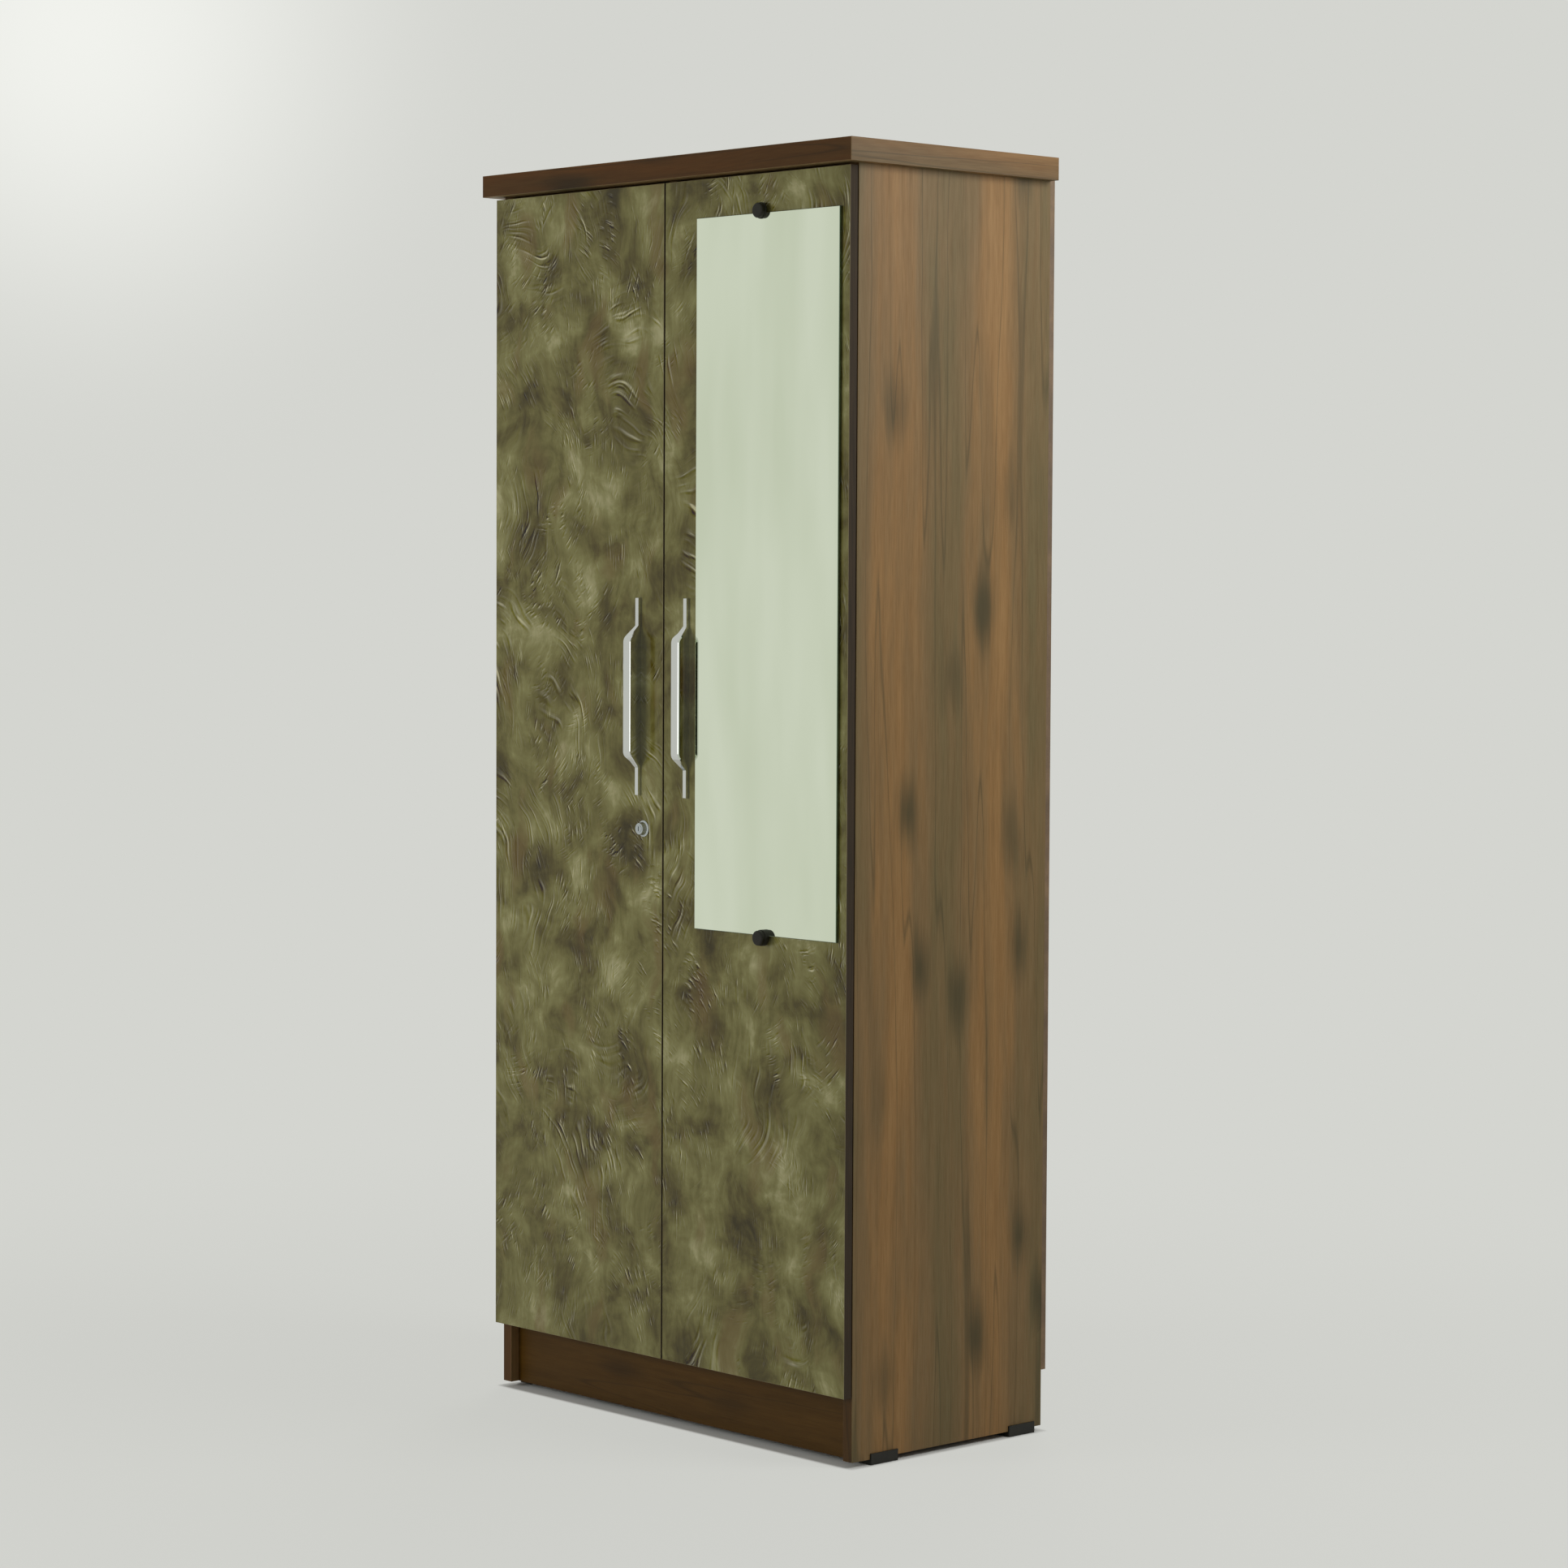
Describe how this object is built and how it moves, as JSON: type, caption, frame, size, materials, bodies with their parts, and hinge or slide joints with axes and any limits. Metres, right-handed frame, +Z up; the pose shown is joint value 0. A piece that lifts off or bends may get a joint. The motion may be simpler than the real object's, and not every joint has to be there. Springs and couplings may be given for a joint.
{
  "type": "armoire",
  "caption": "Tall two-door wardrobe in walnut-print board with glossy marbled doors, a long mirror, pull handles and a lock.",
  "frame": {"origin": "on the floor, at the centre of the whole wardrobe with its handles", "axes": "+X to the right seen from the front, +Y from the doors to the back, +Z up"},
  "size_m": [0.8, 0.428, 1.83],
  "materials": {
    "door_laminate": "glossy olive marbled laminate on board",
    "walnut_laminate": "satin walnut-print laminate on board",
    "plinth_laminate": "satin dark walnut laminate",
    "back_board": "plain board",
    "handle_chrome": "polished",
    "rail_chrome": "polished",
    "lock_nickel": "satin nickel",
    "zinc_steel": "bright zinc",
    "hinge_steel": "nickel-plated pressed steel",
    "cam_zinc": "die-cast",
    "socket_plastic": "plated plastic",
    "mirror": "silvered glass",
    "foam_tape": "foam",
    "black_plastic": "moulded",
    "bumper_rubber": "clear soft",
    "beech": "fluted dowel"
  },
  "bodies": {
    "right_outer_links": {"right_outer_links": "hinge_steel"},
    "left_outer_links": {"left_outer_links": "hinge_steel"},
    "right_inner_links": {"right_inner_links": "hinge_steel"},
    "left_inner_links": {"left_inner_links": "hinge_steel"},
    "right_door": {"right_door_panel": "door_laminate", "right_hinge_cups": "hinge_steel", "right_cup_pins": "hinge_steel", "right_cup_screws": "zinc_steel", "right_handle": "handle_chrome", "right_handle_screws": "zinc_steel", "right_door_bumpers": "bumper_rubber", "mirror_glass": "mirror", "mirror_tapes": "foam_tape", "mirror_top_clip": "black_plastic", "mirror_bottom_clip": "black_plastic", "mirror_clip_screws": "zinc_steel"},
    "left_door": {"left_door_panel": "door_laminate", "left_hinge_cups": "hinge_steel", "left_cup_pins": "hinge_steel", "left_cup_screws": "zinc_steel", "left_handle": "handle_chrome", "left_handle_screws": "zinc_steel", "left_door_bumpers": "bumper_rubber", "lock_barrel": "lock_nickel", "lock_nut": "lock_nickel"},
    "lock": {"lock_plug": "lock_nickel", "lock_cam": "zinc_steel", "lock_cam_screw": "zinc_steel"},
    "cabinet": {"arm_pins": "hinge_steel", "arm_screws": "zinc_steel", "back_panel": "back_board", "back_panel_screws": "zinc_steel", "bottom_board": "walnut_laminate", "cabinet_screws": "zinc_steel", "cam_bolts": "zinc_steel", "cam_discs": "cam_zinc", "centre_partition": "walnut_laminate", "dowels": "beech", "feet": "black_plastic", "foot_nails": "zinc_steel", "front_plinth": "plinth_laminate", "hanging_rail": "rail_chrome", "hat_shelf": "walnut_laminate", "left_hinge_arms": "hinge_steel", "left_mounting_plates": "hinge_steel", "left_shelf_1": "walnut_laminate", "left_shelf_2": "walnut_laminate", "left_shelf_3": "walnut_laminate", "left_shelf_4": "walnut_laminate", "left_side_panel": "walnut_laminate", "lock_keeper": "zinc_steel", "rail_sockets": "socket_plastic", "rear_plinth": "plinth_laminate", "right_hinge_arms": "hinge_steel", "right_mounting_plates": "hinge_steel", "right_side_panel": "walnut_laminate", "shelf_pins": "zinc_steel", "shoe_shelf": "walnut_laminate", "top_board": "walnut_laminate"}
  },
  "joints": [
    {"name": "right_outer_link_pivot", "type": "hinge", "parent": "cabinet", "child": "right_outer_links", "pos_m": [0.359, -0.176, 0.9465], "axis": [0, 0, 1], "range_deg": [-42.8, 0]},
    {"name": "right_door_swing", "type": "hinge", "parent": "right_outer_links", "child": "right_door", "pos_m": [0.3745, -0.18, 0.9465], "axis": [0, 0, 1], "range_deg": [0, 137.75]},
    {"name": "right_inner_link_pivot", "type": "hinge", "parent": "right_door", "child": "right_inner_links", "pos_m": [0.3758, -0.1755, 0.9465], "axis": [0, 0, 1], "range_deg": [-131.2, 0]},
    {"name": "left_outer_link_pivot", "type": "hinge", "parent": "cabinet", "child": "left_outer_links", "pos_m": [-0.359, -0.176, 0.9465], "axis": [0, 0, -1], "range_deg": [-42.8, 0]},
    {"name": "left_door_swing", "type": "hinge", "parent": "left_outer_links", "child": "left_door", "pos_m": [-0.3745, -0.18, 0.9465], "axis": [0, 0, -1], "range_deg": [0, 137.75]},
    {"name": "left_inner_link_pivot", "type": "hinge", "parent": "left_door", "child": "left_inner_links", "pos_m": [-0.3758, -0.1755, 0.9465], "axis": [0, 0, -1], "range_deg": [-131.2, 0]},
    {"name": "lock_turn", "type": "hinge", "parent": "left_door", "child": "lock", "pos_m": [-0.0425, -0.199, 0.868], "axis": [0, -1, 0], "range_deg": [0, 90]}
  ],
  "couplings": [
    {"joint": "right_outer_link_pivot", "follows": "right_door_swing", "ratio": -0.31034},
    {"joint": "right_inner_link_pivot", "follows": "right_door_swing", "ratio": -0.95172},
    {"joint": "left_outer_link_pivot", "follows": "left_door_swing", "ratio": -0.31034},
    {"joint": "left_inner_link_pivot", "follows": "left_door_swing", "ratio": -0.95172}
  ]
}
